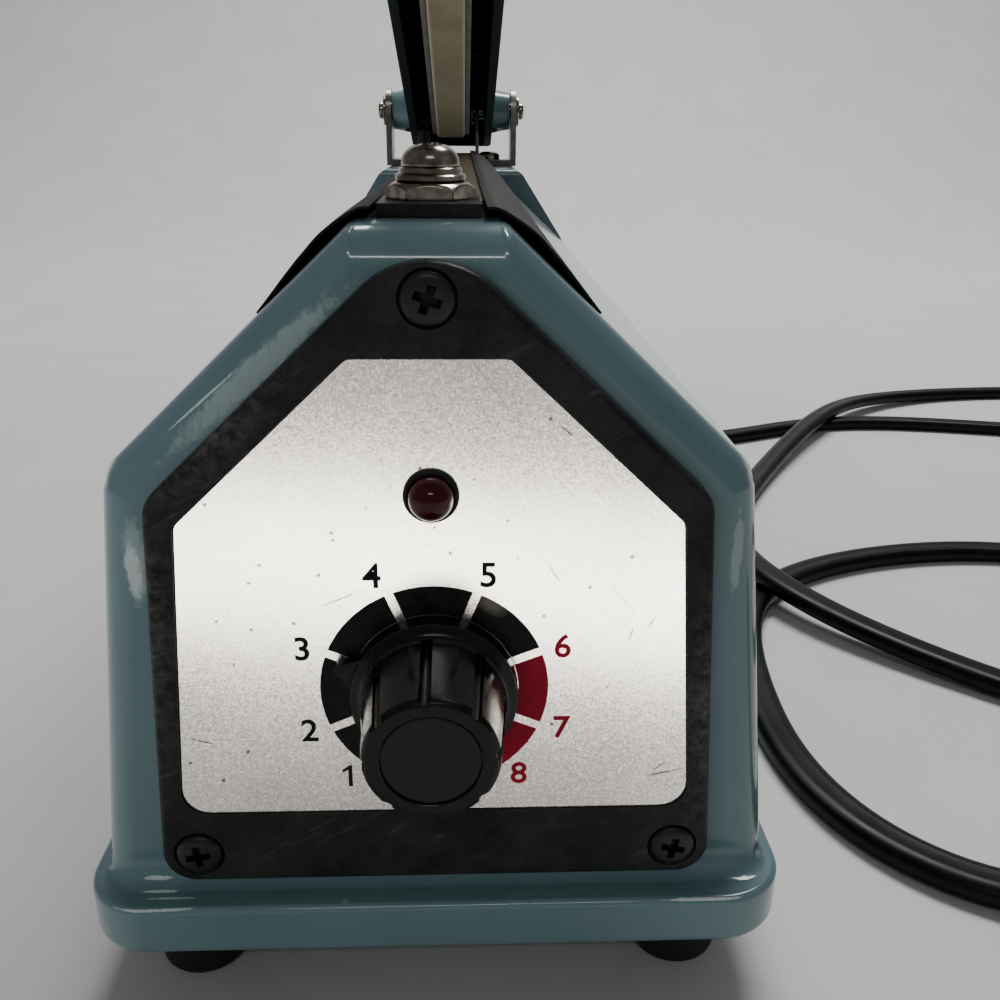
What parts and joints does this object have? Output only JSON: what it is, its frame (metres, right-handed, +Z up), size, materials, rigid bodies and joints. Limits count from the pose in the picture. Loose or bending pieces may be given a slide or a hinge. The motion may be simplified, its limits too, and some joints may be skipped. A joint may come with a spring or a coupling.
{
  "type": "impulse sealer",
  "caption": "Hand impulse sealer for plastic bags: a house-shaped cast housing with a sprung press arm hinged over a heated ridge, a timer knob and lamp in front, and a flat mains lead.",
  "frame": {"origin": "on the table, midway between the feet", "axes": "+Z up, +Y from the front panel towards the hinge at the rear, +X to the right of someone facing the panel"},
  "size_m": [0.3035, 0.373, 0.1912],
  "materials": {
    "teal_enamel": "hammered gloss enamel, worn at the edges",
    "plain_steel": "plain zinc plated sheet",
    "bright_steel": "bright nickel plated",
    "black_steel": "black oxide, satin",
    "spring_steel": "bright drawn wire",
    "black_rubber": "matt",
    "black_pvc": "satin PVC",
    "black_abs": "fine grained, scuffed",
    "black_sheet": "satin coated glass cloth",
    "gloss_black": "polished",
    "satin_grey": "satin",
    "frosted_aluminium": "frosted, anodised",
    "strip_aluminium": "extruded",
    "red_lens": "clear dark red",
    "board_green": "solder mask",
    "relay_blue": "satin",
    "capacitor_sleeve": "shrink sleeve",
    "core_steel": "varnished laminations",
    "copper_winding": "enamelled wire under tape",
    "nichrome": "dull",
    "glass_cloth": "woven, adhesive backed",
    "release_cloth": "coated glass cloth",
    "silicone": "matt, heat stained",
    "nylon": "satin",
    "button_red": "satin",
    "pin_brass": "nickel plated brass"
  },
  "bodies": {
    "housing": {"body_casting": "teal_enamel", "bottom_plate": "plain_steel", "rubber_feet": "black_rubber", "foot_screws": "bright_steel", "front_bezel": "black_abs", "face_plate": "frosted_aluminium", "bezel_screws": "black_steel", "indicator_lamp": "red_lens", "lamp_ring": "black_abs", "potentiometer": "plain_steel", "pot_nut": "bright_steel", "timer_board": "board_green", "timer_relay": "relay_blue", "timer_capacitor": "capacitor_sleeve", "transformer_core": "core_steel", "transformer_winding": "copper_winding", "transformer_strap": "plain_steel", "transformer_screws": "bright_steel", "micro_switch": "black_abs", "switch_bracket": "plain_steel", "switch_screws": "bright_steel", "bracket_screws": "black_steel", "insulating_strip": "glass_cloth", "heating_element": "nichrome", "release_cloth": "release_cloth", "clamp_sheet_left": "black_sheet", "clamp_sheet_right": "black_sheet", "front_insulator": "black_abs", "front_terminal_nut": "bright_steel", "front_terminal_washers": "bright_steel", "front_terminal_screw": "bright_steel", "rear_insulator": "black_abs", "rear_terminal_washer": "bright_steel", "rear_terminal_screw": "bright_steel", "hinge_stirrup": "plain_steel", "stirrup_screws": "bright_steel", "hinge_shaft": "bright_steel", "shaft_clips": "black_steel", "return_spring": "spring_steel", "cord_gland": "black_rubber", "power_cord": "black_pvc", "mains_plug": "black_pvc", "plug_pins": "pin_brass"},
    "arm": {"press_arm": "teal_enamel", "strip_holder": "strip_aluminium", "silicone_strip": "silicone", "holder_screws": "bright_steel"},
    "knob": {"timer_knob": "gloss_black", "knob_cap": "satin_grey", "pot_shaft": "bright_steel"},
    "plunger": {"switch_plunger": "nylon", "switch_button": "button_red"}
  },
  "joints": [
    {"name": "arm_hinge", "type": "hinge", "parent": "housing", "child": "arm", "pos_m": [0, 0.111, 0.104], "axis": [1, 0, 0], "range_deg": [0, 17], "stiffness_Nm_per_rad": 1.4, "springref_deg": -51.57, "deforming": ["return_spring"]},
    {"name": "knob_turn", "type": "hinge", "parent": "housing", "child": "knob", "pos_m": [0, -0.1337, 0.0433], "axis": [0, 1, 0], "range_deg": [-78, 222]},
    {"name": "plunger_slide", "type": "slide", "parent": "housing", "child": "plunger", "axis": [0, 0, 1], "range_m": [-0.0034, 0]}
  ],
  "couplings": [
    {"joint": "plunger_slide", "follows": "arm_hinge", "m_per_rad": -0.0106}
  ]
}
